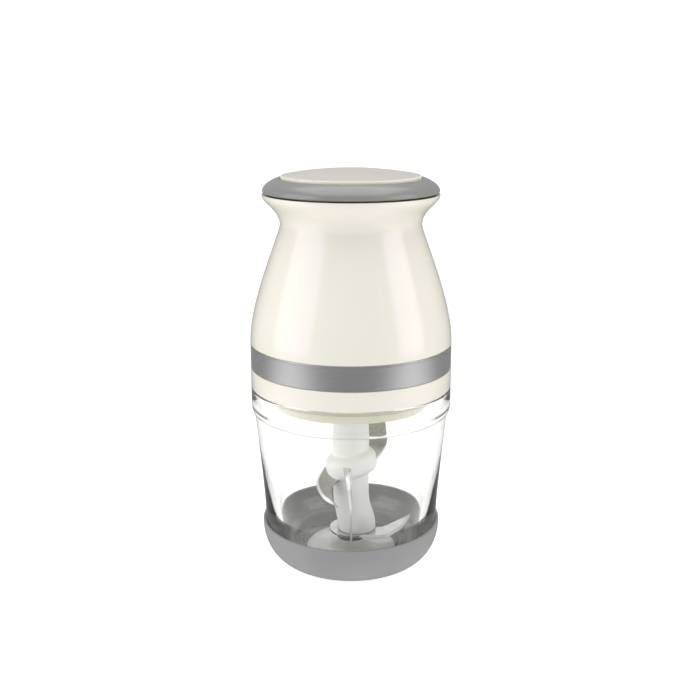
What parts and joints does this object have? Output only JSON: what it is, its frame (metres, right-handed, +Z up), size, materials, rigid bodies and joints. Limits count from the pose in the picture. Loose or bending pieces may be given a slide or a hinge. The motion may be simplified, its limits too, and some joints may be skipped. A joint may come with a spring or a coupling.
{
  "type": "food processor",
  "caption": "Small cordless food processor: clear glass bowl in a grey boot, folded steel blades on a pin, and a bottle-shaped drive head with a push button on top.",
  "frame": {"origin": "middle of the boot's flat underside, on the table", "axes": "+Z up along the blade's axis, -Y towards the front, with the charging port at +Y"},
  "size_m": [0.1008, 0.1008, 0.2012],
  "materials": {
    "boot_grey": "soft matt grey thermoplastic rubber",
    "clear_glass": "clear pressed soda glass",
    "hub_white": "satin white moulding",
    "blade_steel": "ground stainless sheet",
    "bright_steel": "polished stainless and plated steel",
    "cream_gloss": "pearly gloss cream moulding",
    "cream_satin": "satin cream moulding",
    "band_steel": "band with fine level brushing",
    "bezel_grey": "satin grey moulding",
    "seal_silicone": "translucent white silicone",
    "port_rubber": "soft cream rubber",
    "chassis_black": "black moulding",
    "gear_nylon": "natural nylon",
    "gearbox_grey": "grey filled nylon",
    "bronze": "sintered bronze",
    "zinc_plate": "bright zinc plate",
    "magnet_black": "ferrite",
    "core_steel": "stacked core plates",
    "cell_wrap": "shrink sleeve",
    "board_green": "solder-masked board",
    "lens_clear": "frosted light pipe"
  },
  "bodies": {
    "base": {"base_boot": "boot_grey"},
    "bowl": {"glass_bowl": "clear_glass", "blade_pin": "bright_steel"},
    "washer": {"thrust_washer": "gear_nylon"},
    "blade": {"blade_hub": "hub_white", "upper_blade": "blade_steel", "lower_blade": "blade_steel"},
    "output": {"planet_carrier": "zinc_plate", "planet_pins": "bright_steel", "output_shaft": "bright_steel", "drive_coupling": "gearbox_grey"},
    "planet_1": {"planet_gear_1": "gear_nylon"},
    "planet_2": {"planet_gear_2": "gear_nylon"},
    "planet_3": {"planet_gear_3": "gear_nylon"},
    "rotor": {"sun_gear": "bronze", "motor_shaft": "bright_steel", "motor_rotor": "core_steel"},
    "button": {"button_cap": "cream_satin", "stem_clip": "bright_steel"},
    "switch_rod": {"switch_plunger": "hub_white"},
    "flap": {"port_flap": "port_rubber"},
    "head": {"bottom_cover": "cream_satin", "seal_ring": "seal_silicone", "lip_seal": "chassis_black", "lower_collar": "cream_gloss", "steel_band": "band_steel", "motor_housing": "cream_gloss", "charge_lens": "lens_clear", "top_bezel": "bezel_grey", "button_spring": "bright_steel", "micro_switch": "chassis_black", "gearbox_housing": "gearbox_grey", "output_bush": "bronze", "gearbox_cover": "gearbox_grey", "motor_can": "zinc_plate", "motor_magnets": "magnet_black", "motor_end_cap": "chassis_black", "motor_terminals": "bronze", "chassis": "chassis_black", "battery_cell_left": "cell_wrap", "battery_cell_right": "cell_wrap", "circuit_board": "board_green", "charging_board": "board_green", "charging_socket": "bright_steel", "shell_screws": "bright_steel", "gearbox_screws": "bright_steel", "motor_screws": "bright_steel", "board_screws": "bright_steel", "bezel_screws": "bright_steel"}
  },
  "joints": [
    {"name": "bowl_lift", "type": "slide", "parent": "base", "child": "bowl", "axis": [0, 0, 1], "range_m": [0, 0.04]},
    {"name": "head_lift", "type": "slide", "parent": "bowl", "child": "head", "axis": [0, 0, 1], "range_m": [0, 0.12]},
    {"name": "blade_lift", "type": "slide", "parent": "bowl", "child": "washer", "axis": [0, 0, 1], "range_m": [0, 0.06]},
    {"name": "blade_spin", "type": "hinge", "parent": "washer", "child": "blade", "pos_m": [0, 0, 0.05], "axis": [0, 0, 1], "continuous": true},
    {"name": "drive_spin", "type": "hinge", "parent": "head", "child": "output", "pos_m": [0, 0, 0.1], "axis": [0, 0, 1], "continuous": true},
    {"name": "rotor_spin", "type": "hinge", "parent": "head", "child": "rotor", "pos_m": [0, 0, 0.13], "axis": [0, 0, 1], "continuous": true},
    {"name": "button_press", "type": "slide", "parent": "head", "child": "button", "axis": [0, 0, -1], "range_m": [0, 0.0025], "stiffness_N_per_m": 1200, "springref_m": -0.001, "deforming": ["button_spring"]},
    {"name": "switch_press", "type": "slide", "parent": "head", "child": "switch_rod", "axis": [0, 0, -1], "range_m": [0, 0.0025]},
    {"name": "flap_swing", "type": "hinge", "parent": "head", "child": "flap", "pos_m": [0, 0.0493, 0.1203], "axis": [-1, 0, 0], "range_deg": [0, 100]},
    {"name": "planet_1_spin", "type": "hinge", "parent": "output", "child": "planet_1", "pos_m": [0.009, 0, 0.107], "axis": [0, 0, 1], "continuous": true},
    {"name": "planet_2_spin", "type": "hinge", "parent": "output", "child": "planet_2", "pos_m": [-0.0045, 0.00779, 0.107], "axis": [0, 0, 1], "continuous": true},
    {"name": "planet_3_spin", "type": "hinge", "parent": "output", "child": "planet_3", "pos_m": [-0.0045, -0.00779, 0.107], "axis": [0, 0, 1], "continuous": true}
  ],
  "couplings": [
    {"joint": "blade_lift", "follows": "head_lift", "ratio": 0.5},
    {"joint": "blade_spin", "follows": "drive_spin", "ratio": 1},
    {"joint": "rotor_spin", "follows": "drive_spin", "ratio": 5},
    {"joint": "switch_press", "follows": "button_press", "ratio": 1},
    {"joint": "planet_1_spin", "follows": "drive_spin", "ratio": -2.6667},
    {"joint": "planet_2_spin", "follows": "drive_spin", "ratio": -2.6667},
    {"joint": "planet_3_spin", "follows": "drive_spin", "ratio": -2.6667}
  ]
}
